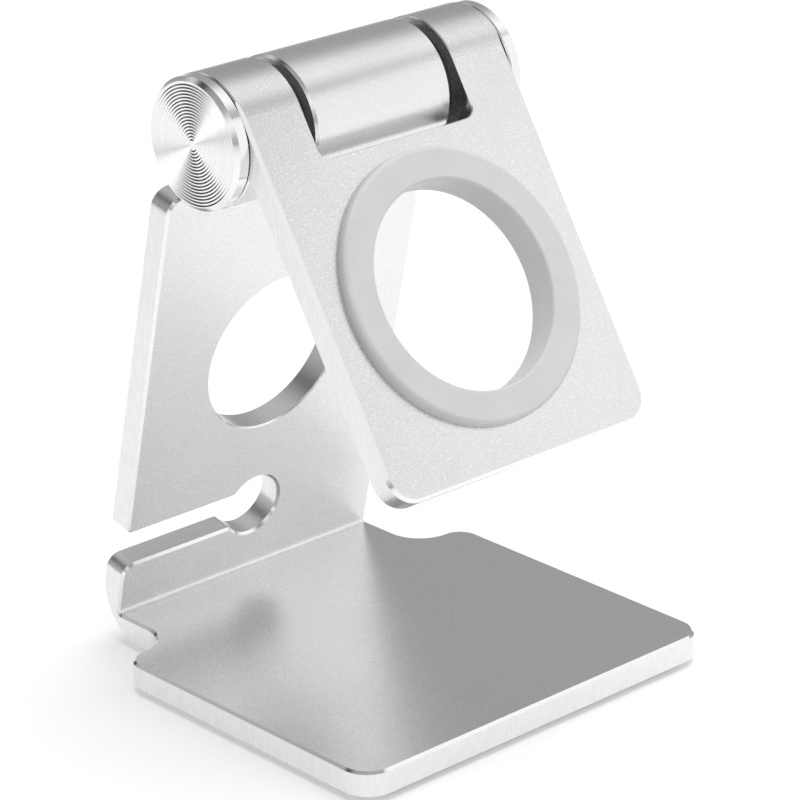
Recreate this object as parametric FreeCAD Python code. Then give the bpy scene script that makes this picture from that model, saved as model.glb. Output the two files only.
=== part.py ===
import FreeCAD, Part
import math
import os

from FreeCAD import Vector

# Smartwatch stand. One bent aluminium plate makes the foot, the leaning upright and a tongue
# with the middle knuckle of a hinge. A tilting panel with two outer knuckles hangs on that
# hinge and carries a soft ring for a round watch charger. Turned caps close the two ends.
# Lengths are millimetres. X runs to the right, Y to the rear and Z up. The origin is the
# centre of the foot pad's underside, on the table.

# Foot
foot_width = 62.0
foot_depth = 48.0
foot_front_corner = 4.0
foot_rear_corner = 3.2
neck_fillet = 5.0
plate_thickness = 3.8
pad_thickness = 0.7
pad_side_margin = 2.6
pad_front_margin = 1.3

# Upright, measured along its leaning front face from the inner crease
crease_setback = 11.4
upright_width = 45.5
upright_lean = 13.0
bend_outer_radius = 7.6
bend_inner_radius = 0.5
shoulder_gap = 2.3
shoulder_corner = 2.5
window_radius = 11.6
window_height = 35.25
slot_width = 5.2
slot_height = 10.3
keyhole_radius = 4.5
slot_corner = 1.2
lip_corner = 2.0

# Hinge barrel, its axis also measured along the upright's front face
hinge_rise = 75.7
barrel_radius = 8.8
tongue_width = 23.2
tongue_side_gap = 1.65
knuckle_length = 9.25
knuckle_wall = 2.3
tongue_front_fillet = 0.8
tongue_root_fillet = 1.2

# Tilting panel, measured along its front face from the foot of the hinge axis
panel_tilt = 31.9
panel_thickness = 3.4
panel_corner = 4.0
panel_rear_fillet = 0.3
notch_clearance = 0.7
notch_corner = 1.5

# Charger ring, held in a round bore of the panel
charger_bore_radius = 14.0
ring_top_gap = 2.0
ring_bottom_gap = 5.3
ring_wall = 2.0
ring_flange_width = 2.5
ring_proud = 1.3
ring_outer_round = 0.7
ring_inner_round = 0.35
ring_fit = 0.05

# Bright cut edges of the aluminium pieces
bracket_chamfer = 0.35
window_chamfer = 0.2
knuckle_chamfer = 0.15
panel_bevel = 0.45

# Hinge hardware, stacked outwards along the axis on each side of the tongue
shaft_hex = 7.0
hex_clearance = 0.03
journal_radius = 3.0
running_clearance = 0.03
thread_radius = 2.5
thread_clearance = 0.02
shaft_end_length = 0.25
shaft_end_chamfer = 0.3
bush_wall = 1.0
press_clearance = 0.01
side_washer_margin = 1.8
side_washer_play = 0.05
thrust_washer_thickness = 0.8
thrust_washer_margin = 0.6
stack_play = 0.02
spring_margin = 1.5
spring_thickness = 0.4
spring_cone = 0.25
nut_hex = 8.0
nut_height = 2.7
nut_chamfer = 0.35
insert_depth = 0.9
insert_wall = 0.9
end_room = 0.2

# Turned end caps
cap_gap = 0.1
cap_thickness = 2.15
cap_rim_step = 0.1
cap_chamfer = 0.55
cap_inner_chamfer = 0.2
spigot_length = 1.9
spigot_wall = 1.2
spigot_clearance = 0.02
groove_pitch = 0.415
groove_depth = 0.1
groove_centre = 0.4

# How far a cutter reaches past the surface it cuts, and how near two places, directions or
# lengths count as one
overcut = 1.0
same_place = 0.05
same_direction = 1e-4
same_length = 1e-6

# Directions: up and back along the upright, down and front along the panel
axis_x = Vector(1, 0, 0)
axis_z = Vector(0, 0, 1)
lean = math.radians(upright_lean)
up = Vector(0, -math.sin(lean), math.cos(lean))
back = Vector(0, math.cos(lean), math.sin(lean))
tilt = math.radians(panel_tilt)
down = Vector(0, -math.sin(tilt), -math.cos(tilt))
front = Vector(0, -math.cos(tilt), math.sin(tilt))

# Places that follow from the sizes above
x_foot = foot_width / 2
y_foot = foot_depth / 2
foot_bottom = pad_thickness
foot_top = pad_thickness + plate_thickness
crease = Vector(0, y_foot + crease_setback, foot_top)
hinge = crease + up * hinge_rise - back * (barrel_radius - plate_thickness)
shoulder_rise = hinge_rise - barrel_radius - shoulder_gap

# The outside of the bend, and the foot's rear corners, which share the step beside the neck
x_upright = upright_width / 2
bend_corner_y = crease.y + plate_thickness / math.cos(lean) + plate_thickness * math.tan(lean)
bend_start_y = bend_corner_y - bend_outer_radius / math.tan((math.pi / 2 - lean) / 2)
step_room = (x_foot - x_upright) / (neck_fillet + foot_rear_corner)
corner_share = min(1, step_room, (bend_start_y - y_foot) / neck_fillet)
neck_radius = neck_fillet * corner_share
rear_radius = foot_rear_corner * corner_share

# Radii about the hinge axis and about the charger's axis
bush_radius = journal_radius + bush_wall
counterbore_radius = barrel_radius - knuckle_wall
ring_spigot_radius = charger_bore_radius + ring_wall
ring_flange_radius = ring_spigot_radius + ring_flange_width
panel_bore_radius = ring_spigot_radius + ring_fit

# Stations outwards along the hinge axis, and the stack of washers, springs and nut
x_tongue = tongue_width / 2
x_notch = x_tongue + tongue_side_gap
x_panel = x_notch + knuckle_length
spring_height = spring_thickness + spring_cone
nut_seat = thrust_washer_thickness + 2 * spring_height + 4 * stack_play
stack_height = nut_seat + nut_height + shaft_end_length
x_web = x_panel - stack_height - end_room - spigot_length
x_shaft_end = x_web + stack_height

# Depths along the panel
notch_depth = math.sqrt((barrel_radius + notch_clearance) ** 2 - (barrel_radius - panel_thickness) ** 2)
charger_drop = notch_depth + ring_top_gap + ring_flange_radius
panel_length = charger_drop + ring_flange_radius + ring_bottom_gap


def parallel(a, b):
    """True where two directions are parallel, either way round."""
    return a.cross(b).Length < same_direction


def rounded_wire(corners):
    """Closed wire through (point, radius) corners, with a tangent arc at each rounded one."""
    ends = []
    for i, (point, radius) in enumerate(corners):
        if radius == 0:
            ends.append((point, None, point))
            continue
        to_last = (corners[i - 1][0] - point).normalize()
        to_next = (corners[(i + 1) % len(corners)][0] - point).normalize()
        half_angle = to_last.getAngle(to_next) / 2
        reach = radius / math.tan(half_angle)
        bisector = (to_last + to_next).normalize()
        middle = point + bisector * (radius / math.sin(half_angle) - radius)
        ends.append((point + to_last * reach, middle, point + to_next * reach))
    edges = []
    for i, (start, middle, end) in enumerate(ends):
        if middle is not None:
            edges.append(Part.Arc(start, middle, end).toShape())
        following = ends[(i + 1) % len(ends)][0]
        if end.distanceToPoint(following) > same_length:
            edges.append(Part.LineSegment(end, following).toShape())
    return Part.Wire(edges)


def prism(corners, travel):
    """Solid swept from a rounded outline along the vector travel."""
    return Part.Face(rounded_wire(corners)).extrude(travel)


def cylinder_between(start, end, radius):
    """Round bar between two points."""
    return Part.makeCylinder(radius, start.distanceToPoint(end), start, end - start)


def turned(origin, axis, corners):
    """Solid of revolution. Corners are (distance along axis, radius, rounding)."""
    side = axis.cross(axis_z if parallel(axis, axis_x) else axis_x).normalize()
    outline = [(origin + axis * along + side * out, rounding) for along, out, rounding in corners]
    return Part.Face(rounded_wire(outline)).revolve(origin, axis, 360)


def hex_bar(across_flats, start_x, end_x):
    """Hexagonal bar on the hinge axis."""
    corner_radius = across_flats / 2 / math.cos(math.radians(30))
    outline = []
    for k in range(6):
        angle = math.radians(60 * k)
        offset = Vector(0, corner_radius * math.cos(angle), corner_radius * math.sin(angle))
        outline.append((hinge + axis_x * start_x + offset, 0))
    return prism(outline, axis_x * (end_x - start_x))


def curl(thickness, length, fillet, along, outward, width):
    """Round barrel with a plate leaving it tangentially, as each half of the hinge has."""
    inner = barrel_radius - thickness
    centre_out = inner - fillet
    centre_along = math.sqrt((barrel_radius + fillet) ** 2 - centre_out ** 2)
    centre = hinge + along * centre_along + outward * centre_out
    barrel_touch = hinge + (centre - hinge).normalize() * barrel_radius
    plate_touch = centre + outward * fillet
    to_hinge = (hinge - centre).normalize()
    fillet_middle = centre + (to_hinge + outward).normalize() * fillet
    top = hinge + outward * barrel_radius
    far_out = top + along * length
    far_in = far_out - outward * thickness
    barrel_far = hinge - along * barrel_radius
    edges = [
        Part.LineSegment(top, far_out).toShape(),
        Part.LineSegment(far_out, far_in).toShape(),
        Part.LineSegment(far_in, plate_touch).toShape(),
        Part.Arc(plate_touch, fillet_middle, barrel_touch).toShape(),
        Part.Arc(barrel_touch, barrel_far, top).toShape(),
    ]
    section = Part.Face(Part.Wire(edges))
    section.translate(axis_x * (-width / 2))
    return section.extrude(axis_x * width)


def edges_at(shape, direction, places):
    """Straight edges along direction that pass through one of the places."""
    found = []
    for edge in shape.Edges:
        if not isinstance(edge.Curve, Part.Line) or not parallel(edge.Curve.Direction, direction):
            continue
        for place in places:
            offset = edge.Vertexes[0].Point - place
            if (offset - direction * offset.dot(direction)).Length < same_place:
                found.append(edge)
    return found


def is_broad(face, normals):
    """True for a plate's wide faces and for its bends, but not for the cut edges."""
    surface = face.Surface
    if isinstance(surface, Part.Plane):
        return any(parallel(surface.Axis, normal) for normal in normals)
    return isinstance(surface, Part.Cylinder) and parallel(surface.Axis, axis_x)


def rim_edges(shape, normals, wall_radius=None):
    """Edges where a wide face meets a cut edge, or where it meets a bore of one radius."""
    found = []
    for edge in shape.Edges:
        faces = shape.ancestorsOfType(edge, Part.Face)
        if len(faces) != 2:
            continue
        broad = [is_broad(face, normals) for face in faces]
        if broad[0] == broad[1]:
            continue
        wall = faces[1] if broad[0] else faces[0]
        radius = getattr(wall.Surface, "Radius", 0)
        if wall_radius is None or abs(radius - wall_radius) < same_length:
            found.append(edge)
    return found


def on_upright(x, rise):
    """Point on the upright's front face."""
    return crease + axis_x * x + up * rise


def foot_plate():
    """Flat foot with rounded corners and a short neck between two hollow shoulders."""
    neck_y = y_foot + neck_radius
    corners = [
        (-x_foot, -y_foot, foot_front_corner), (x_foot, -y_foot, foot_front_corner),
        (x_foot, y_foot, rear_radius), (x_upright, y_foot, neck_radius),
        (x_upright, neck_y, 0), (-x_upright, neck_y, 0),
        (-x_upright, y_foot, neck_radius), (-x_foot, y_foot, rear_radius),
    ]
    outline = [(Vector(x, y, foot_bottom), radius) for x, y, radius in corners]
    return prism(outline, axis_z * plate_thickness)


def bend_and_upright():
    """Plate that turns up from the neck: round outside the bend, nearly sharp inside it."""
    left = axis_x * -x_upright
    top = crease + up * shoulder_rise
    outline = [
        (left + Vector(0, y_foot, foot_bottom), 0),
        (left + Vector(0, bend_corner_y, foot_bottom), bend_outer_radius),
        (left + top + back * plate_thickness, 0),
        (left + top, 0),
        (left + crease, bend_inner_radius),
        (left + Vector(0, y_foot, foot_top), 0),
    ]
    return prism(outline, axis_x * upright_width)


def slot_through_upright(x_start, x_end, low, high):
    """Straight cutter through the upright's plate."""
    corners = [(x_start, low), (x_end, low), (x_end, high), (x_start, high)]
    outline = [(on_upright(x, rise) - back * overcut, 0) for x, rise in corners]
    return prism(outline, back * (plate_thickness + 2 * overcut))


def round_through_upright(rise, radius):
    """Round cutter through the upright's plate, on its centre line."""
    start = on_upright(0, rise) - back * overcut
    return cylinder_between(start, start + back * (plate_thickness + 2 * overcut), radius)


def make_bracket():
    """Foot, bend, upright and tongue of one plate, with the window and the cable keyhole."""
    tongue_length = hinge_rise - shoulder_rise + tongue_root_fillet
    tongue = curl(plate_thickness, tongue_length, tongue_front_fillet, up * -1, back, tongue_width)
    bracket = foot_plate().fuse([bend_and_upright(), tongue]).removeSplitter()

    slot_low = slot_height - slot_width / 2
    slot_high = slot_height + slot_width / 2
    left = -x_upright
    slot = slot_through_upright(left - overcut, 0, slot_low, slot_high)
    keyhole = round_through_upright(slot_height, keyhole_radius)
    bracket = bracket.cut([slot, keyhole])

    mouth_x = -math.sqrt(keyhole_radius ** 2 - (slot_width / 2) ** 2)
    slot_corners = [on_upright(mouth_x, slot_low), on_upright(mouth_x, slot_high)]
    slot_corners.append(on_upright(left, slot_high))
    bracket = bracket.makeFillet(slot_corner, edges_at(bracket, back, slot_corners))
    lip_end = [on_upright(left, slot_low)]
    bracket = bracket.makeFillet(lip_corner, edges_at(bracket, back, lip_end))
    shoulders = [on_upright(x, shoulder_rise) for x in (left, x_upright)]
    bracket = bracket.makeFillet(shoulder_corner, edges_at(bracket, back, shoulders))
    roots = [on_upright(x, shoulder_rise) for x in (-x_tongue, x_tongue)]
    bracket = bracket.makeFillet(tongue_root_fillet, edges_at(bracket, back, roots))
    bracket = bracket.makeChamfer(bracket_chamfer, rim_edges(bracket, (axis_z, back)))

    window = round_through_upright(window_height, window_radius)
    bracket = bracket.cut(window)
    bracket = bracket.makeChamfer(window_chamfer, rim_edges(bracket, (back,), window_radius))
    x_end = x_tongue + overcut
    return bracket.cut(hex_bar(shaft_hex + 2 * hex_clearance, -x_end, x_end))


def on_panel(x, drop, height=0.0):
    """Point above the panel's front face."""
    return hinge + front * (barrel_radius + height) + down * drop + axis_x * x


def bevelling_blank():
    """Slab whose slanted edges trim the panel's front edges, and run out over its barrel."""
    x = x_panel + overcut
    above = -2 * (barrel_radius + overcut)
    below = panel_length + overcut
    outline = [
        (on_panel(-x, above, overcut), 0), (on_panel(x, above, overcut), 0),
        (on_panel(x, below, overcut), panel_corner + overcut),
        (on_panel(-x, below, overcut), panel_corner + overcut),
    ]
    blank = prism(outline, front * (above - overcut))
    front_edges = [edge for edge in blank.Edges
                   if abs((edge.CenterOfMass - on_panel(0, 0, overcut)).dot(front)) < same_place]
    return blank.makeChamfer(panel_bevel + 2 * overcut, front_edges)


def make_panel():
    """Tilting panel: two knuckles, a notch for the tongue and a bore for the charger ring."""
    panel = curl(panel_thickness, panel_length, panel_rear_fillet, down, front, 2 * x_panel)
    reach = 2 * (barrel_radius + overcut)
    notch_outline = [
        (on_panel(-x_notch, -reach, overcut), 0), (on_panel(x_notch, -reach, overcut), 0),
        (on_panel(x_notch, notch_depth, overcut), notch_corner),
        (on_panel(-x_notch, notch_depth, overcut), notch_corner),
    ]
    panel = panel.cut(prism(notch_outline, front * -reach))
    corners = [on_panel(x, panel_length) for x in (-x_panel, x_panel)]
    panel = panel.makeFillet(panel_corner, edges_at(panel, front, corners))
    panel = panel.makeChamfer(knuckle_chamfer, rim_edges(panel, (front,)))
    panel = panel.common(bevelling_blank())

    room_radius = barrel_radius + notch_clearance / 2
    tongue_room = cylinder_between(hinge - axis_x * x_notch, hinge + axis_x * x_notch, room_radius)
    bore_start = on_panel(0, charger_drop, overcut)
    bore_end = on_panel(0, charger_drop, -panel_thickness - overcut)
    cutters = [tongue_room, cylinder_between(bore_start, bore_end, panel_bore_radius)]
    end = axis_x * (x_panel + overcut)
    cutters.append(cylinder_between(hinge - end, hinge + end, bush_radius))
    for side in (-1, 1):
        start = hinge + axis_x * (side * x_web)
        cutters.append(cylinder_between(start, hinge + end * side, counterbore_radius))
    return panel.cut(cutters)


def make_foot_pad():
    """Thin soft sheet under the foot, set in from its sides."""
    x = x_foot - pad_side_margin
    y_rear = y_foot - pad_side_margin
    y_front = -y_foot + pad_front_margin
    front_corner = foot_front_corner - pad_front_margin
    rear_corner = max(rear_radius - pad_side_margin, pad_front_margin)
    outline = [
        (Vector(-x, y_front, 0), front_corner), (Vector(x, y_front, 0), front_corner),
        (Vector(x, y_rear, 0), rear_corner), (Vector(-x, y_rear, 0), rear_corner),
    ]
    return prism(outline, axis_z * pad_thickness)


def make_charger_ring():
    """Soft flanged ring that lines the panel's bore and stands a little proud of its front."""
    rear = -panel_thickness
    return turned(on_panel(0, charger_drop), front, [
        (rear, charger_bore_radius, 0),
        (rear, ring_spigot_radius, 0),
        (0, ring_spigot_radius, 0),
        (0, ring_flange_radius, 0),
        (ring_proud, ring_flange_radius, ring_outer_round),
        (ring_proud, charger_bore_radius, ring_inner_round),
    ])


def make_shaft():
    """Steel axle: a hexagon held in the tongue, a round journal and a thread at each end."""
    x_journal = x_web + stack_play + thrust_washer_thickness
    shaft = hex_bar(shaft_hex, -x_tongue, x_tongue)
    for side in (-1, 1):
        shaft = shaft.fuse(turned(hinge, axis_x * side, [
            (x_tongue, 0, 0),
            (x_tongue, journal_radius, 0),
            (x_journal, journal_radius, 0),
            (x_journal, thread_radius, 0),
            (x_shaft_end - shaft_end_chamfer, thread_radius, 0),
            (x_shaft_end, thread_radius - shaft_end_chamfer, 0),
            (x_shaft_end, 0, 0),
        ]))
    return shaft.removeSplitter()


def flat_ring(side, x_inner, x_outer, bore, radius):
    """Washer or bush on the hinge axis."""
    return turned(hinge, axis_x * side, [
        (x_inner, bore, 0), (x_inner, radius, 0), (x_outer, radius, 0), (x_outer, bore, 0),
    ])


def disc_spring(side, x_inner, dished_out):
    """Coned spring washer. Two of them lie rim to rim, so they are dished opposite ways."""
    bore = thread_radius + stack_play
    radius = counterbore_radius - spring_margin
    near_bore = x_inner + (spring_cone if dished_out else 0)
    near_rim = x_inner + (0 if dished_out else spring_cone)
    return turned(hinge, axis_x * side, [
        (near_bore, bore, 0), (near_rim, radius, 0),
        (near_rim + spring_thickness, radius, 0), (near_bore + spring_thickness, bore, 0),
    ])


def lock_nut(side, x_inner):
    """Hexagon nut with chamfered corners and a pocket for its locking insert."""
    x_outer = x_inner + nut_height
    bore = thread_radius + thread_clearance
    corner_radius = nut_hex / 2 / math.cos(math.radians(30))
    nut = hex_bar(nut_hex, side * x_inner, side * x_outer)
    envelope = turned(hinge, axis_x * side, [
        (x_inner, 0, 0),
        (x_inner, corner_radius - nut_chamfer, 0),
        (x_inner + nut_chamfer, corner_radius, 0),
        (x_outer - nut_chamfer, corner_radius, 0),
        (x_outer, corner_radius - nut_chamfer, 0),
        (x_outer, 0, 0),
    ])
    past = hinge + axis_x * (side * (x_outer + overcut))
    hole = cylinder_between(hinge, past, bore)
    pocket_start = hinge + axis_x * (side * (x_outer - insert_depth))
    return nut.common(envelope).cut([hole, cylinder_between(pocket_start, past, bore + insert_wall)])


def end_cap(side):
    """Turned cap: a disc with fine concentric grooves, and a hollow spigot behind it."""
    x_inner = x_panel + cap_gap
    x_face = x_inner + cap_thickness
    rim_radius = barrel_radius - cap_rim_step
    face_radius = rim_radius - cap_chamfer
    spigot_radius = counterbore_radius - spigot_clearance
    corners = [
        (x_inner, 0, 0),
        (x_inner, spigot_radius - spigot_wall, 0),
        (x_panel - spigot_length, spigot_radius - spigot_wall, 0),
        (x_panel - spigot_length, spigot_radius, 0),
        (x_inner, spigot_radius, 0),
        (x_inner, rim_radius - cap_inner_chamfer, 0),
        (x_inner + cap_inner_chamfer, rim_radius, 0),
        (x_face - cap_chamfer, rim_radius, 0),
        (x_face, face_radius, 0),
    ]
    count = int((face_radius - groove_centre) / groove_pitch)
    first = face_radius - (face_radius - groove_centre - count * groove_pitch) / 2
    for k in range(count):
        crest = first - k * groove_pitch
        corners.append((x_face, crest, 0))
        corners.append((x_face - groove_depth, crest - groove_pitch / 2, 0))
    corners.append((x_face, first - count * groove_pitch, 0))
    corners.append((x_face, 0, 0))
    return turned(hinge, axis_x * side, corners)


def hinge_side(side, name):
    """Hardware on one side of the tongue, from the tongue out to the cap."""
    x_thrust = x_web + stack_play
    x_first = x_thrust + thrust_washer_thickness + stack_play
    x_second = x_first + spring_height + stack_play
    x_nut = x_web + nut_seat
    x_nut_end = x_nut + nut_height
    journal_bore = journal_radius + running_clearance
    insert_bore = thread_radius + thread_clearance
    pieces = {
        "side_washer": flat_ring(side, x_tongue + side_washer_play, x_notch - side_washer_play,
                                 journal_bore, barrel_radius - side_washer_margin),
        "hinge_bush": flat_ring(side, x_notch, x_web, journal_bore, bush_radius - press_clearance),
        "thrust_washer": flat_ring(side, x_thrust, x_thrust + thrust_washer_thickness,
                                   journal_bore, counterbore_radius - thrust_washer_margin),
        "inner_spring": disc_spring(side, x_first, True),
        "outer_spring": disc_spring(side, x_second, False),
        "lock_nut": lock_nut(side, x_nut),
        "nut_insert": flat_ring(side, x_nut_end - insert_depth, x_nut_end,
                                insert_bore, insert_bore + insert_wall - press_clearance),
        "end_cap": end_cap(side),
    }
    return {piece + "_" + name: shape for piece, shape in pieces.items()}


parts = {
    "bracket": make_bracket(),
    "foot_pad": make_foot_pad(),
    "hinge_shaft": make_shaft(),
    "watch_panel": make_panel(),
    "charger_ring": make_charger_ring(),
}
parts.update(hinge_side(-1, "left"))
parts.update(hinge_side(1, "right"))

os.makedirs("parts", exist_ok=True)
for node, shape in parts.items():
    solid = shape.Solids[0]
    print(f"{node}: solids {len(shape.Solids)}, valid {solid.isValid()}, volume {solid.Volume:.2f}")
    solid.exportStep(f"parts/{node}.step")
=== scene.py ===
# %% [markdown]
# # Dressing a smartwatch stand
#
# This stand is one bent aluminium plate: a foot that lies on the table, an upright that leans
# forward, and a tongue at its top that carries a hinge. A second plate, the watch panel, hangs
# on the hinge and holds a soft ring for a round charger. The solids come ready made from the
# CAD model, so this lesson is about looks: camera, studio light and finishes.
# Loading the frame gives each solid as a mesh object whose shape stays as it is.

import math

import bpy
from mathutils import Matrix, Vector

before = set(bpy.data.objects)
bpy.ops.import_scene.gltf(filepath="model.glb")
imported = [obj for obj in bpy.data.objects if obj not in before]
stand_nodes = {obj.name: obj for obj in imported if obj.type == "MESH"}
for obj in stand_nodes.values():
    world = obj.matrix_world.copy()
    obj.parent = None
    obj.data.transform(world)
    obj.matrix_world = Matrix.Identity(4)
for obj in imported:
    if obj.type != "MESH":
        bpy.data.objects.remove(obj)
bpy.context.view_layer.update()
mm_per_m = 1000.0
print("stand pieces:", len(stand_nodes))

# %% [markdown]
# ## The camera
#
# A product photographer stands well back with a long lens, so that the stand's edges stay
# nearly parallel. The eye is given as a place in metres, a turn to the right, a dip below the
# horizon and a small roll. A Track To constraint could aim the camera, but it leaves the roll
# out. Working out the camera's three axes, and writing them into its matrix, gives full
# control: a camera looks along its own minus Z, with X to the right and Y up.

# %% Camera axes
eye_place = Vector((-0.30979, -0.33587, 0.22278))
eye_turn = math.radians(42.463)
eye_dip = math.radians(21.835)
eye_roll = math.radians(-0.7579)

looking = Vector((
    math.sin(eye_turn) * math.cos(eye_dip),
    math.cos(eye_turn) * math.cos(eye_dip),
    -math.sin(eye_dip),
))
level_right = Vector((math.cos(eye_turn), -math.sin(eye_turn), 0))
level_up = level_right.cross(looking)
eye_right = level_right * math.cos(eye_roll) + level_up * math.sin(eye_roll)
eye_up = level_up * math.cos(eye_roll) - level_right * math.sin(eye_roll)
print("looking along", [round(v, 3) for v in looking])

# %% Camera
lens_mm = 169.89
photo_camera = bpy.data.objects.new("photo_camera", bpy.data.cameras.new("photo_camera"))
bpy.context.scene.collection.objects.link(photo_camera)
photo_camera.matrix_world = Matrix((
    (eye_right.x, eye_up.x, -looking.x, eye_place.x),
    (eye_right.y, eye_up.y, -looking.y, eye_place.y),
    (eye_right.z, eye_up.z, -looking.z, eye_place.z),
    (0, 0, 0, 1),
))
photo_camera.data.sensor_width = 36.0
photo_camera.data.lens = lens_mm
photo_camera.data.clip_start = 0.01
photo_camera.data.clip_end = 50.0
bpy.context.scene.camera = photo_camera
bpy.context.scene.view_settings.view_transform = "Standard"
print("camera", round(eye_place.length, 3), "m from the stand's origin")

# %% [markdown]
# ## Small helpers for shader work
#
# Shaders are graphs, and a graph is easier to read when each line of code adds one node and
# says what goes into it. `add_node` makes a node, sets its options and its inputs: a plain
# value is typed into a socket, and another node's socket is linked to it.

# %% Node helper
def add_node(tree, kind, inputs=None, **options):
    node = tree.nodes.new(kind)
    for name, value in options.items():
        setattr(node, name, value)
    for socket, value in (inputs or {}).items():
        if isinstance(value, bpy.types.NodeSocket):
            tree.links.new(value, node.inputs[socket])
        else:
            node.inputs[socket].default_value = value
    return node


def maths(tree, operation, a, b=0.0):
    return add_node(tree, "ShaderNodeMath", {0: a, 1: b}, operation=operation).outputs[0]


print("helpers ready")

# %% [markdown]
# An effect that several finishes share, such as dents or feed marks, is a node group. Its
# sockets are made first, with a type and a starting value, and then the nodes between them.
# `start_effect` opens such a group and hands back the tree with its two ends, and `use_effect`
# places a finished group in a material or in the world.

# %% Node group helper
socket_kinds = {"value": "NodeSocketFloat", "place": "NodeSocketVector"}


def start_effect(name, takes, gives):
    tree = bpy.data.node_groups.new(name, "ShaderNodeTree")
    for label, kind, start in takes:
        socket = tree.interface.new_socket(label, in_out="INPUT", socket_type=socket_kinds[kind])
        if start is not None:
            socket.default_value = start
    for label, kind in gives:
        tree.interface.new_socket(label, in_out="OUTPUT", socket_type=socket_kinds[kind])
    came_in = tree.nodes.new("NodeGroupInput")
    goes_out = tree.nodes.new("NodeGroupOutput")
    return tree, came_in.outputs, goes_out


def use_effect(tree, effect, inputs):
    return add_node(tree, "ShaderNodeGroup", inputs, node_tree=effect).outputs


print("group sockets:", sorted(socket_kinds))

# %% [markdown]
# ## The studio
#
# Bare metal has hardly any colour of its own, so what it shows is the room. The stand lies on
# a wide white floor. A white floor under soft light comes out a little grey, so its material
# adds a faint glow that only the camera and mirror-like surfaces see: the paper turns white,
# the shadow stays, and no extra light falls on the stand.

# %% Floor
def matt_finish(name, grey):
    finish = bpy.data.materials.new(name)
    finish.use_nodes = True
    shader = finish.node_tree.nodes["Principled BSDF"]
    shader.inputs["Base Color"].default_value = (grey, grey, grey, 1)
    shader.inputs["Roughness"].default_value = 1.0
    shader.inputs["Specular IOR Level"].default_value = 0.0
    return finish


floor_half = 3.0
floor_mesh = bpy.data.meshes.new("studio_floor")
floor_mesh.from_pydata(
    [(-floor_half, -floor_half, 0), (floor_half, -floor_half, 0),
     (floor_half, floor_half, 0), (-floor_half, floor_half, 0)],
    [], [(0, 1, 2, 3)],
)
studio_floor = bpy.data.objects.new("studio_floor", floor_mesh)
bpy.context.scene.collection.objects.link(studio_floor)
print("floor side in m:", floor_half * 2)

# %% Floor finish
floor_grey, floor_glow = 0.84, 0.27
floor_finish = matt_finish("floor_white", floor_grey)
floor_tree = floor_finish.node_tree
floor_shader = floor_tree.nodes["Principled BSDF"]
ray = add_node(floor_tree, "ShaderNodeLightPath").outputs
mirror_ray = maths(floor_tree, "MAXIMUM", ray["Is Glossy Ray"], ray["Is Transmission Ray"])
seen_ray = maths(floor_tree, "MAXIMUM", ray["Is Camera Ray"], mirror_ray)
glow_strength = maths(floor_tree, "MULTIPLY", seen_ray, floor_glow)
floor_shader.inputs["Emission Color"].default_value = (1, 1, 1, 1)
floor_tree.links.new(glow_strength, floor_shader.inputs["Emission Strength"])
floor_mesh.materials.append(floor_finish)
print("floor glows with", floor_glow, "where it is seen")

# %% [markdown]
# Most of what the metal shows comes from the world. It is a plain grey all round, and on it sit
# soft bright patches, like big softboxes without edges. A patch is a bell curve round a
# direction: the dot product of the ray's direction with the patch's own is 1 in its middle and
# falls off round it, and an exponential turns that into a glow. A negative patch takes light
# away, as a black card does that a photographer puts beside bare metal to give it dark accents.
# A studio photograph could light the world too, but patches can be moved one by one.
# A group makes one patch, and a loop adds them.

# %% Soft patch
soft_patch, came, goes = start_effect(
    "soft_patch",
    [("Way", "place", None), ("Middle", "place", (0.0, 0.0, 1.0)),
     ("Brightness", "value", 1.0), ("Sharpness", "value", 40.0)],
    [("Glow", "value")],
)
patch_dot = add_node(
    soft_patch, "ShaderNodeVectorMath", {0: came["Way"], 1: came["Middle"]},
    operation="DOT_PRODUCT",
)
patch_fall = maths(
    soft_patch, "MULTIPLY",
    maths(soft_patch, "SUBTRACT", patch_dot.outputs["Value"], 1.0), came["Sharpness"],
)
patch_glow = maths(
    soft_patch, "MULTIPLY", maths(soft_patch, "EXPONENT", patch_fall), came["Brightness"]
)
soft_patch.links.new(patch_glow, goes.inputs["Glow"])
print("effect", soft_patch.name, "has", len(soft_patch.nodes), "nodes")

# %% World patches
world_grey = 0.38
patches = {
    # name: (turn from the rear towards the right, height, both in degrees, brightness, sharpness)
    "zenith": (90, 80, 0.45, 12),
    "high_right": (78, 54, 0.5, 40),
    "right": (106, 46, 0.68, 40),
    "right_horizon": (118, 8, 0.8, 40),
    "front": (196, 12, 0.65, 40),
    "left": (240, 22, 0.7, 40),
    "left_horizon": (284, 8, 1.3, 32),
    "rear_left": (334, 38, 0.4, 60),
    "high_card": (316, 46, -0.37, 40),
    "low_card": (325, 9, -0.35, 22),
}
print("patches:", ", ".join(patches))

# %% World
studio_world = bpy.data.worlds.new("studio_world")
studio_world.use_nodes = True
bpy.context.scene.world = studio_world
world_tree = studio_world.node_tree
world_tree.nodes.clear()
sky_way = add_node(world_tree, "ShaderNodeTexCoord").outputs["Generated"]
sky_sum = world_grey
for turn, height, brightness, sharpness in patches.values():
    turn, height = math.radians(turn), math.radians(height)
    middle = (
        math.sin(turn) * math.cos(height), math.cos(turn) * math.cos(height), math.sin(height)
    )
    glow = use_effect(
        world_tree, soft_patch,
        {"Way": sky_way, "Middle": middle, "Brightness": brightness, "Sharpness": sharpness},
    )
    sky_sum = maths(world_tree, "ADD", glow["Glow"], sky_sum)
sky_light = add_node(
    world_tree, "ShaderNodeBackground", {"Color": (1, 1, 1, 1), "Strength": sky_sum}
)
add_node(world_tree, "ShaderNodeOutputWorld", {"Surface": sky_light.outputs[0]})
print("world has", len(patches), "patches on a grey of", world_grey)

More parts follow.
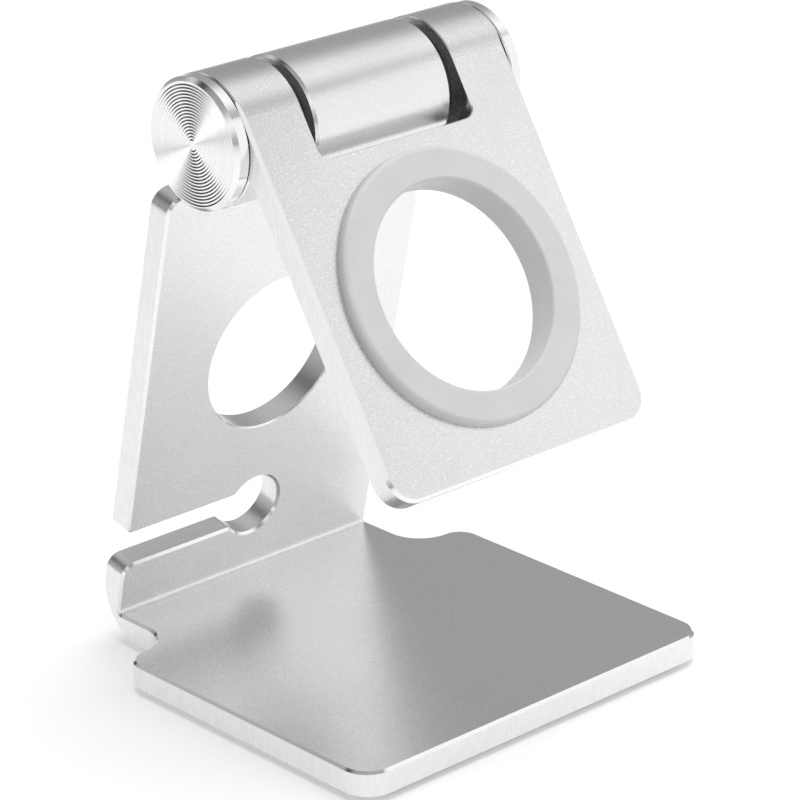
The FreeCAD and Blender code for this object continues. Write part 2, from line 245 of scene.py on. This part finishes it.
# %% [markdown]
# The floor and the soft ring are matt, and need a strong light from above. A square softbox
# hangs there. Seen in the metal it would burn the top of the foot to plain white, so glossy
# rays pass it by, as they would with the polarised light that photographers use for metal.
# Each softbox is given by its glow, as its watts grow with its area.

# %% Overhead softbox
def softbox(name, width, height, glow):
    lamp = bpy.data.lights.new(name, "AREA")
    lamp.shape = "RECTANGLE"
    lamp.size, lamp.size_y = width, height
    lamp.energy = glow * math.pi * width * height
    box = bpy.data.objects.new(name, lamp)
    bpy.context.scene.collection.objects.link(box)
    box.visible_camera = False
    print(name, "takes", round(lamp.energy, 3), "W")
    return box


overhead_side = 0.8
overhead_place = (0.1, 0.0, 1.0)
overhead_softbox = softbox("overhead_softbox", overhead_side, overhead_side, glow=2.7)
overhead_softbox.location = overhead_place
overhead_softbox.visible_glossy = False

# %% [markdown]
# A patch of the world is endlessly far away, so a flat plate that mirrors it looks the same all
# over. One softbox stands close to the stand, at its right front, and every place on the panel
# mirrors another part of it. A lamp does not hide what is behind it, so a black card on its
# back does, as the case of a real softbox would. Cards are plain meshes that the camera does
# not see and that metal does.

# %% Black card
cloth_grey = 0.02
cloth_finish = matt_finish("black_cloth", cloth_grey)


def outwards(turn):
    return Vector((math.sin(turn), math.cos(turn), 0))


def black_card(name, turn, distance, width, top):
    way = outwards(turn)
    side = Vector((way.y, -way.x, 0)) * width / 2
    rise = Vector((0, 0, top))
    foot = way * distance
    card_mesh = bpy.data.meshes.new(name)
    card_mesh.from_pydata(
        [foot - side, foot + side, foot + side + rise, foot - side + rise], [], [(0, 1, 2, 3)]
    )
    card_mesh.materials.append(cloth_finish)
    card = bpy.data.objects.new(name, card_mesh)
    bpy.context.scene.collection.objects.link(card)
    card.visible_camera = False
    print(name, "is", round(top * mm_per_m), "mm high")


print("cards are", cloth_finish.name)

# %% [markdown]
# The near softbox stands on the floor and faces the stand. A black flag stands at the left
# rear, outside the picture. The grooves of the end caps look almost level over the floor
# towards it, and it turns half of each groove dark.

# %% Near softbox and flag
near_turn, near_distance, near_width, near_top = math.radians(132), 0.17, 0.14, 0.21
case_depth = 0.005

near_softbox = softbox("right_softbox", near_width, near_top, glow=1.07)
near_softbox.location = outwards(near_turn) * near_distance + Vector((0, 0, near_top / 2))
near_softbox.rotation_mode = "QUATERNION"
near_softbox.rotation_quaternion = (-outwards(near_turn)).to_track_quat("-Z", "Y")
black_card("softbox_back", near_turn, near_distance + case_depth, near_width, near_top)
black_card("rear_flag", math.radians(345), distance=0.40, width=0.20, top=0.12)

# %% [markdown]
# ## Blasted aluminium
#
# The plates are blasted with fine glass beads before they are anodised. Each bead leaves a
# tiny dent, so that the metal looks satin and sparkles a little. A photograph or a picture
# texture could give that, but a fine 3-D noise works from every side and never repeats.
# The group below mixes a fine noise with small round dents, and gives back a height for the
# bump and a mask of bright flecks.

# %% Bead dents
bead_dents, came, goes = start_effect(
    "bead_dents",
    [("Place", "place", None), ("Dent size mm", "value", 0.2)],
    [("Height", "value"), ("Fleck", "value")],
)
dents_per_metre = maths(bead_dents, "DIVIDE", mm_per_m, came["Dent size mm"])
dent_noise = add_node(
    bead_dents, "ShaderNodeTexNoise",
    {"Vector": came["Place"], "Scale": dents_per_metre, "Detail": 2.0, "Roughness": 0.6},
)
dent_cells = add_node(
    bead_dents, "ShaderNodeTexVoronoi",
    {"Vector": came["Place"], "Scale": dents_per_metre, "Randomness": 1.0},
    feature="SMOOTH_F1",
)
dent_sum = maths(bead_dents, "ADD", dent_noise.outputs[0], dent_cells.outputs["Distance"])
fleck = add_node(
    bead_dents, "ShaderNodeMapRange",
    {"Value": dent_noise.outputs[0], "From Min": 0.50, "From Max": 0.68},
    interpolation_type="SMOOTHSTEP",
)
bead_dents.links.new(dent_sum, goes.inputs["Height"])
bead_dents.links.new(fleck.outputs[0], goes.inputs["Fleck"])
print("effect", bead_dents.name, "has", len(bead_dents.nodes), "nodes")

# %% [markdown]
# No finish is quite even. Anodising and handling leave faint clouds a few millimetres wide.
# A soft noise stands for them, and each material decides how far they change its roughness.

# %% Soft clouds
soft_clouds, came, goes = start_effect(
    "soft_clouds",
    [("Place", "place", None), ("Cloud size mm", "value", 8.0),
     ("Lowest", "value", 0.0), ("Highest", "value", 1.0)],
    [("Amount", "value")],
)
clouds_per_metre = maths(soft_clouds, "DIVIDE", mm_per_m, came["Cloud size mm"])
cloud_noise = add_node(
    soft_clouds, "ShaderNodeTexNoise",
    {"Vector": came["Place"], "Scale": clouds_per_metre, "Detail": 3.0, "Roughness": 0.5},
)
cloud_range = add_node(
    soft_clouds, "ShaderNodeMapRange",
    {"Value": cloud_noise.outputs[0], "From Min": 0.3, "From Max": 0.7,
     "To Min": came["Lowest"], "To Max": came["Highest"]},
)
soft_clouds.links.new(cloud_range.outputs[0], goes.inputs["Amount"])
print("effect", soft_clouds.name, "has", len(soft_clouds.nodes), "nodes")

# %% [markdown]
# ## Marks of the lathe and of the cutter
#
# The end caps and most parts inside the hinge are turned on a lathe, and the tool leaves fine
# rings round the hinge axis. A Wave texture could draw rings, but too evenly. A ring only
# depends on the distance from that axis, so two squares and a root give it, and a noise read
# along that single number draws rings of uneven depth.

# %% Turning rings
hinge_y, hinge_z = 0.01349936, 0.07713506  # where the axis crosses the stand, in metres

turning_rings, came, goes = start_effect(
    "turning_rings",
    [("Place", "place", None), ("Ring pitch mm", "value", 0.08)],
    [("Height", "value"), ("Line", "value")],
)
ring_parts = add_node(turning_rings, "ShaderNodeSeparateXYZ", {0: came["Place"]})
across = maths(turning_rings, "SUBTRACT", ring_parts.outputs["Y"], hinge_y)
above = maths(turning_rings, "SUBTRACT", ring_parts.outputs["Z"], hinge_z)
ring_square = maths(
    turning_rings, "ADD",
    maths(turning_rings, "MULTIPLY", across, across),
    maths(turning_rings, "MULTIPLY", above, above),
)
ring_distance = maths(turning_rings, "SQRT", ring_square)
rings_per_metre = maths(turning_rings, "DIVIDE", mm_per_m, came["Ring pitch mm"])
ring_count = maths(turning_rings, "MULTIPLY", ring_distance, rings_per_metre)
ring_noise = add_node(
    turning_rings, "ShaderNodeTexNoise",
    {"W": ring_count, "Scale": 1.0, "Detail": 2.0, "Roughness": 0.7},
    noise_dimensions="1D",
)
ring_line = add_node(
    turning_rings, "ShaderNodeMapRange",
    {"Value": ring_noise.outputs[0], "From Min": 0.35, "From Max": 0.65},
    interpolation_type="SMOOTHSTEP",
)
turning_rings.links.new(ring_noise.outputs[0], goes.inputs["Height"])
turning_rings.links.new(ring_line.outputs[0], goes.inputs["Line"])
print("effect", turning_rings.name, "has", len(turning_rings.nodes), "nodes")

# %% [markdown]
# A milling cutter and a rolling mill leave fine lines that run one way. A noise whose space is
# stretched along Z gives them: its grains turn into short upright strokes.

# %% Feed marks
feed_marks, came, goes = start_effect(
    "feed_marks",
    [("Place", "place", None), ("Mark size mm", "value", 0.12), ("Stretch", "value", 0.2)],
    [("Height", "value"), ("Line", "value")],
)
marks_per_metre = maths(feed_marks, "DIVIDE", mm_per_m, came["Mark size mm"])
long_way = maths(feed_marks, "MULTIPLY", marks_per_metre, came["Stretch"])
mark_scale = add_node(
    feed_marks, "ShaderNodeCombineXYZ", {0: marks_per_metre, 1: marks_per_metre, 2: long_way}
)
mark_place = add_node(
    feed_marks, "ShaderNodeVectorMath", {0: came["Place"], 1: mark_scale.outputs[0]},
    operation="MULTIPLY",
)
mark_noise = add_node(
    feed_marks, "ShaderNodeTexNoise",
    {"Vector": mark_place.outputs[0], "Scale": 1.0, "Detail": 3.0, "Roughness": 0.6},
)
mark_line = add_node(
    feed_marks, "ShaderNodeMapRange",
    {"Value": mark_noise.outputs[0], "From Min": 0.38, "From Max": 0.62},
)
feed_marks.links.new(mark_noise.outputs[0], goes.inputs["Height"])
feed_marks.links.new(mark_line.outputs[0], goes.inputs["Line"])
print("effect", feed_marks.name, "has", len(feed_marks.nodes), "nodes")

# %% [markdown]
# Soft rubber and silicone catch a little lint. The group scatters small round specks: a
# Voronoi texture gives every cell a centre and a random colour, a speck is drawn near the
# centre, and the random number decides which few cells get one.

# %% Lint specks
lint_specks, came, goes = start_effect(
    "lint_specks",
    [("Place", "place", None), ("Speck spacing mm", "value", 1.2), ("Share", "value", 0.3)],
    [("Speck", "value")],
)
specks_per_metre = maths(lint_specks, "DIVIDE", mm_per_m, came["Speck spacing mm"])
speck_cells = add_node(
    lint_specks, "ShaderNodeTexVoronoi",
    {"Vector": came["Place"], "Scale": specks_per_metre, "Randomness": 1.0},
)
speck_core = add_node(
    lint_specks, "ShaderNodeMapRange",
    {"Value": speck_cells.outputs["Distance"], "From Min": 0.05, "From Max": 0.12,
     "To Min": 1.0, "To Max": 0.0},
    interpolation_type="SMOOTHSTEP",
)
speck_dice = add_node(lint_specks, "ShaderNodeSeparateColor", {0: speck_cells.outputs["Color"]})
speck_kept = maths(lint_specks, "LESS_THAN", speck_dice.outputs[0], came["Share"])
speck_mask = maths(lint_specks, "MULTIPLY", speck_core.outputs[0], speck_kept)
lint_specks.links.new(speck_mask, goes.inputs["Speck"])
print("effect", lint_specks.name, "has", len(lint_specks.nodes), "nodes")

# %% [markdown]
# ## Materials
#
# Every material starts the same way: a Principled shader and the object's own coordinates,
# which are metres here and travel with the piece when the hinge turns. Colour and roughness
# come from the effects, and values that are the same all over are typed into the shader.

# %% Material helpers
mix_first, mix_second, mix_result = 6, 7, 2  # the Mix node's colour sockets, by their numbers


def start_finish(name):
    finish = bpy.data.materials.new(name)
    finish.use_nodes = True
    tree = finish.node_tree
    place = add_node(tree, "ShaderNodeTexCoord").outputs["Object"]
    return finish, tree, tree.nodes["Principled BSDF"], place


def mix_colours(tree, mask, first, second):
    inputs = {"Factor": mask, mix_first: first, mix_second: second}
    return add_node(tree, "ShaderNodeMix", inputs, data_type="RGBA").outputs[mix_result]


def blend_colours(tree, mask, dark, light):
    return mix_colours(tree, mask, (*dark, 1), (*light, 1))


def spread(tree, mask, low, high):
    node = add_node(tree, "ShaderNodeMapRange", {"Value": mask, "To Min": low, "To Max": high})
    return node.outputs[0]


def add_relief(tree, shader, height, depth_mm):
    relief = add_node(
        tree, "ShaderNodeBump",
        {"Height": height, "Strength": 1.0, "Distance": depth_mm / mm_per_m},
    )
    tree.links.new(relief.outputs[0], shader.inputs["Normal"])


print("material helpers ready")

# %% [markdown]
# The bent plate is blasted finely and the panel more coarsely. One function makes both: the
# dents give the relief, their flecks the brighter and smoother spots, and clouds vary the
# roughness over the plate. Two copied materials would do too, but would drift apart.

# %% Blasted aluminium
fleck_polish = 0.05


def blasted_finish(name, dent_mm, dark, light, smooth, rough, dent_depth_mm):
    finish, tree, shader, place = start_finish(name)
    dents = use_effect(tree, bead_dents, {"Place": place, "Dent size mm": dent_mm})
    clouds = use_effect(
        tree, soft_clouds,
        {"Place": place, "Cloud size mm": 9.0, "Lowest": smooth, "Highest": rough},
    )
    fleck_shine = maths(tree, "MULTIPLY", dents["Fleck"], fleck_polish)
    roughness = maths(tree, "SUBTRACT", clouds["Amount"], fleck_shine)
    tree.links.new(blend_colours(tree, dents["Fleck"], dark, light), shader.inputs["Base Color"])
    tree.links.new(roughness, shader.inputs["Roughness"])
    add_relief(tree, shader, dents["Height"], dent_depth_mm)
    shader.inputs["Metallic"].default_value = 1.0
    return finish


bracket_finish = blasted_finish(
    "fine_blasted_aluminium", dent_mm=0.13, dark=(0.80, 0.80, 0.805), light=(0.90, 0.90, 0.905),
    smooth=0.27, rough=0.31, dent_depth_mm=0.005,
)
panel_finish = blasted_finish(
    "coarse_blasted_aluminium", dent_mm=0.20, dark=(0.76, 0.76, 0.765), light=(0.89, 0.89, 0.895),
    smooth=0.27, rough=0.31, dent_depth_mm=0.009,
)
print("finishes", bracket_finish.name, "and", panel_finish.name)

# %% [markdown]
# The bevel is cut after blasting, so it is smoother and brighter than the plate, with hardly
# any texture but faint feed marks. Rolled strip needs the same nodes later on, so they are in
# a function.

# %% Cut edge
def marked_finish(name, mark_mm, stretch, dark, light, smooth, rough, mark_depth_mm):
    finish, tree, shader, place = start_finish(name)
    marks = use_effect(
        tree, feed_marks, {"Place": place, "Mark size mm": mark_mm, "Stretch": stretch}
    )
    tree.links.new(blend_colours(tree, marks["Line"], dark, light), shader.inputs["Base Color"])
    tree.links.new(spread(tree, marks["Line"], smooth, rough), shader.inputs["Roughness"])
    add_relief(tree, shader, marks["Height"], mark_depth_mm)
    shader.inputs["Metallic"].default_value = 1.0
    return finish


cut_edge_finish = marked_finish(
    "cut_edge", mark_mm=0.15, stretch=0.4, dark=(0.82, 0.82, 0.825), light=(0.93, 0.93, 0.935),
    smooth=0.12, rough=0.20, mark_depth_mm=0.004,
)
print("finish", cut_edge_finish.name)

# %% [markdown]
# The narrow walls all round a plate are milled too. They are as pale as the blasted faces but
# less textured, so the same feed marks serve here, larger and fainter, and clouds instead of
# the marks vary the roughness.

# %% Milled wall
milled_wall_finish, tree, shader, place = start_finish("milled_wall")
marks = use_effect(tree, feed_marks, {"Place": place, "Mark size mm": 0.4, "Stretch": 0.15})
clouds = use_effect(
    tree, soft_clouds, {"Place": place, "Cloud size mm": 6.0, "Lowest": 0.24, "Highest": 0.30}
)
wall_colour = blend_colours(
    tree, marks["Line"], dark=(0.79, 0.79, 0.795), light=(0.84, 0.84, 0.845)
)
tree.links.new(wall_colour, shader.inputs["Base Color"])
tree.links.new(clouds["Amount"], shader.inputs["Roughness"])
add_relief(tree, shader, marks["Height"], depth_mm=0.003)
shader.inputs["Metallic"].default_value = 1.0
print("finish", milled_wall_finish.name)

# %% [markdown]
# The caps are turned. Their wide grooves are in the solid, and their slopes mirror bright and
# dark parts of the studio, which draws the bright hourglass on the cap. The finer rings come
# from the effect. Light that meets such rings spreads across them more than along them, and a
# little anisotropy does that, with a tangent that runs round the axis.

# %% Turned caps and steel
ring_depth_mm = 0.003


def turned_finish(name, pitch_mm, dark, light, smooth, rough, stretch):
    finish, tree, shader, place = start_finish(name)
    rings = use_effect(tree, turning_rings, {"Place": place, "Ring pitch mm": pitch_mm})
    tree.links.new(blend_colours(tree, rings["Line"], dark, light), shader.inputs["Base Color"])
    tree.links.new(spread(tree, rings["Line"], rough, smooth), shader.inputs["Roughness"])
    add_relief(tree, shader, rings["Height"], ring_depth_mm)
    round_way = add_node(tree, "ShaderNodeTangent", direction_type="RADIAL", axis="X")
    tree.links.new(round_way.outputs[0], shader.inputs["Tangent"])
    shader.inputs["Anisotropic"].default_value = stretch
    shader.inputs["Metallic"].default_value = 1.0
    return finish


cap_finish = turned_finish(
    "turned_cap", pitch_mm=0.09, dark=(0.84, 0.84, 0.845), light=(0.95, 0.95, 0.955),
    smooth=0.10, rough=0.15, stretch=0.3,
)
shaft_finish = turned_finish(
    "turned_steel", pitch_mm=0.12, dark=(0.42, 0.42, 0.43), light=(0.60, 0.60, 0.61),
    smooth=0.18, rough=0.30, stretch=0.4,
)
print("finishes", cap_finish.name, "and", shaft_finish.name)

# %% [markdown]
# Spring washers are stamped from rolled strip and hardened, so they are darker and a little
# brown, with marks from rolling. The nuts carry a thin zinc plating: pale, faintly blue, and
# cloudy where the crystals differ.

# %% Spring steel and plated nuts
spring_finish = marked_finish(
    "spring_strip", mark_mm=0.2, stretch=0.15, dark=(0.30, 0.28, 0.26), light=(0.44, 0.42, 0.39),
    smooth=0.28, rough=0.42, mark_depth_mm=0.006,
)

nut_finish, tree, shader, place = start_finish("zinc_plating")
clouds = use_effect(
    tree, soft_clouds, {"Place": place, "Cloud size mm": 0.9, "Lowest": 0.0, "Highest": 1.0}
)
grains = use_effect(tree, bead_dents, {"Place": place, "Dent size mm": 0.15})
zinc_colour = blend_colours(
    tree, clouds["Amount"], dark=(0.56, 0.58, 0.60), light=(0.72, 0.73, 0.74)
)
tree.links.new(zinc_colour, shader.inputs["Base Color"])
zinc_roughness = spread(tree, clouds["Amount"], low=0.26, high=0.40)
tree.links.new(zinc_roughness, shader.inputs["Roughness"])
add_relief(tree, shader, grains["Height"], depth_mm=0.004)
shader.inputs["Metallic"].default_value = 1.0
print("finishes", spring_finish.name, "and", nut_finish.name)

# %% [markdown]
# The ring that holds the charger is moulded silicone: matt, pale grey and very even, with a
# fine skin from the mould and a few specks of lint. The foot pad is a grey rubber sheet with
# a coarser grain. One function makes both, because only the sizes and colours differ. The
# slide washers, bushes and nut inserts are moulded plastic and use it too, without lint.

# %% Moulded finish
fleck_share, cloud_share = 0.5, 0.5


def moulded_finish(name, skin_mm, dark, light, smooth, rough, skin_depth_mm, lint_share, lint):
    finish, tree, shader, place = start_finish(name)
    skin = use_effect(tree, bead_dents, {"Place": place, "Dent size mm": skin_mm})
    clouds = use_effect(
        tree, soft_clouds, {"Place": place, "Cloud size mm": 5.0, "Lowest": 0.0, "Highest": 1.0}
    )
    specks = use_effect(
        tree, lint_specks, {"Place": place, "Speck spacing mm": 1.1, "Share": lint_share}
    )
    fleck_part = maths(tree, "MULTIPLY", skin["Fleck"], fleck_share)
    cloud_part = maths(tree, "MULTIPLY", clouds["Amount"], cloud_share)
    tint = blend_colours(tree, maths(tree, "ADD", fleck_part, cloud_part), dark, light)
    with_lint = mix_colours(tree, specks["Speck"], tint, (*lint, 1))
    tree.links.new(with_lint, shader.inputs["Base Color"])
    tree.links.new(spread(tree, clouds["Amount"], smooth, rough), shader.inputs["Roughness"])
    add_relief(tree, shader, skin["Height"], skin_depth_mm)
    shader.inputs["Metallic"].default_value = 0.0
    return finish


print("moulded finishes mix flecks and clouds", fleck_share, "to", cloud_share)

# %% Silicone, rubber and plastics
ring_finish = moulded_finish(
    "ring_silicone", skin_mm=0.18, dark=(0.68, 0.68, 0.685), light=(0.76, 0.76, 0.765),
    smooth=0.42, rough=0.52, skin_depth_mm=0.006, lint_share=0.10, lint=(0.82, 0.82, 0.82),
)
pad_finish = moulded_finish(
    "pad_rubber", skin_mm=0.35, dark=(0.24, 0.24, 0.245), light=(0.33, 0.33, 0.335),
    smooth=0.70, rough=0.85, skin_depth_mm=0.03, lint_share=0.15, lint=(0.44, 0.44, 0.43),
)
slide_finish = moulded_finish(
    "slide_plastic", skin_mm=0.15, dark=(0.055, 0.055, 0.06), light=(0.085, 0.085, 0.09),
    smooth=0.38, rough=0.50, skin_depth_mm=0.005, lint_share=0.0, lint=(0.1, 0.1, 0.1),
)
insert_finish = moulded_finish(
    "nut_insert_plastic", skin_mm=0.12, dark=(0.10, 0.16, 0.34), light=(0.14, 0.21, 0.42),
    smooth=0.32, rough=0.44, skin_depth_mm=0.005, lint_share=0.0, lint=(0.2, 0.2, 0.2),
)
print("finishes", [f.name for f in (ring_finish, pad_finish, slide_finish, insert_finish)])

# %% [markdown]
# ## Walls and cut edges
#
# After blasting, a cutter runs round the plate and leaves a smooth wall and a bright bevel.
# Both are solid faces already. A CAD face arrives as an island of triangles that shares no
# corner with the next one, so the island's width tells what it is: a fraction of a millimetre
# for a bevel, about the plate's thickness for a wall, and more for a blasted face. Giving
# those polygons their own material slots is simpler and sharper than an edge mask.

# %% Find narrow islands
def islands_of(mesh):
    chief = list(range(len(mesh.vertices)))

    def head(v):
        while chief[v] != v:
            chief[v] = chief[chief[v]]
            v = chief[v]
        return v

    for polygon in mesh.polygons:
        first = head(polygon.vertices[0])
        for v in polygon.vertices[1:]:
            chief[head(v)] = first
    groups = {}
    for polygon in mesh.polygons:
        groups.setdefault(head(polygon.vertices[0]), []).append(polygon.index)
    return list(groups.values())


bracket_mesh = stand_nodes["bracket"].data
bracket_islands = islands_of(bracket_mesh)
print("bracket has", len(bracket_islands), "faces from the CAD")

# %% [markdown]
# A long strip's width is twice its area divided by the length of its rim. The rim is made of
# the edges that only one polygon of the island uses.

# %% Width of an island
def island_width_mm(mesh, island):
    area, edge_uses = 0.0, {}
    for index in island:
        polygon = mesh.polygons[index]
        area += polygon.area
        for key in polygon.edge_keys:
            edge_uses[key] = edge_uses.get(key, 0) + 1
    rim = sum(
        (mesh.vertices[a].co - mesh.vertices[b].co).length
        for (a, b), uses in edge_uses.items() if uses == 1
    )
    return 2 * area / rim * mm_per_m if rim else 0.0


bracket_widths = [island_width_mm(bracket_mesh, island) for island in bracket_islands]
print("they are", round(min(bracket_widths), 2), "to", round(max(bracket_widths), 1), "mm wide")

# %% [markdown]
# The plate's three slots are numbered from wide faces to narrow ones: 0 is blasted, 1 is a
# milled wall and 2 is a cut edge. So the slot is the number of limits that a face is below.

# %% Dress the plates
widest_bevel_mm, widest_wall_mm = 0.7, 3.6


def dress_plate(node_name, plate_finish):
    plate = stand_nodes[node_name]
    plate.data.materials.clear()
    for finish in (plate_finish, milled_wall_finish, cut_edge_finish):
        plate.data.materials.append(finish)
    found = [0, 0, 0]
    for island in islands_of(plate.data):
        width = island_width_mm(plate.data, island)
        slot = (width < widest_wall_mm) + (width < widest_bevel_mm)
        found[slot] += 1
        for index in island:
            plate.data.polygons[index].material_index = slot
    print(node_name, "has", found[1], "walls and", found[2], "cut edges")


plates = {"bracket": bracket_finish, "watch_panel": panel_finish}
for node_name, finish in plates.items():
    dress_plate(node_name, finish)

# %% [markdown]
# Every other piece has one finish. Most of them come in pairs, one for each side of the hinge,
# so a table of stems and a loop over the two sides dress them alike.

# %% Dress the other pieces
both_sides = {
    "end_cap": cap_finish,
    "thrust_washer": shaft_finish,
    "inner_spring": spring_finish,
    "outer_spring": spring_finish,
    "lock_nut": nut_finish,
    "nut_insert": insert_finish,
    "side_washer": slide_finish,
    "hinge_bush": slide_finish,
}
piece_finish = {"foot_pad": pad_finish, "charger_ring": ring_finish, "hinge_shaft": shaft_finish}
for stem, finish in both_sides.items():
    for side in ("left", "right"):
        piece_finish[f"{stem}_{side}"] = finish
for node_name, finish in piece_finish.items():
    stand_nodes[node_name].data.materials.clear()
    stand_nodes[node_name].data.materials.append(finish)
print("dressed", len(piece_finish) + len(plates), "of", len(stand_nodes), "pieces")
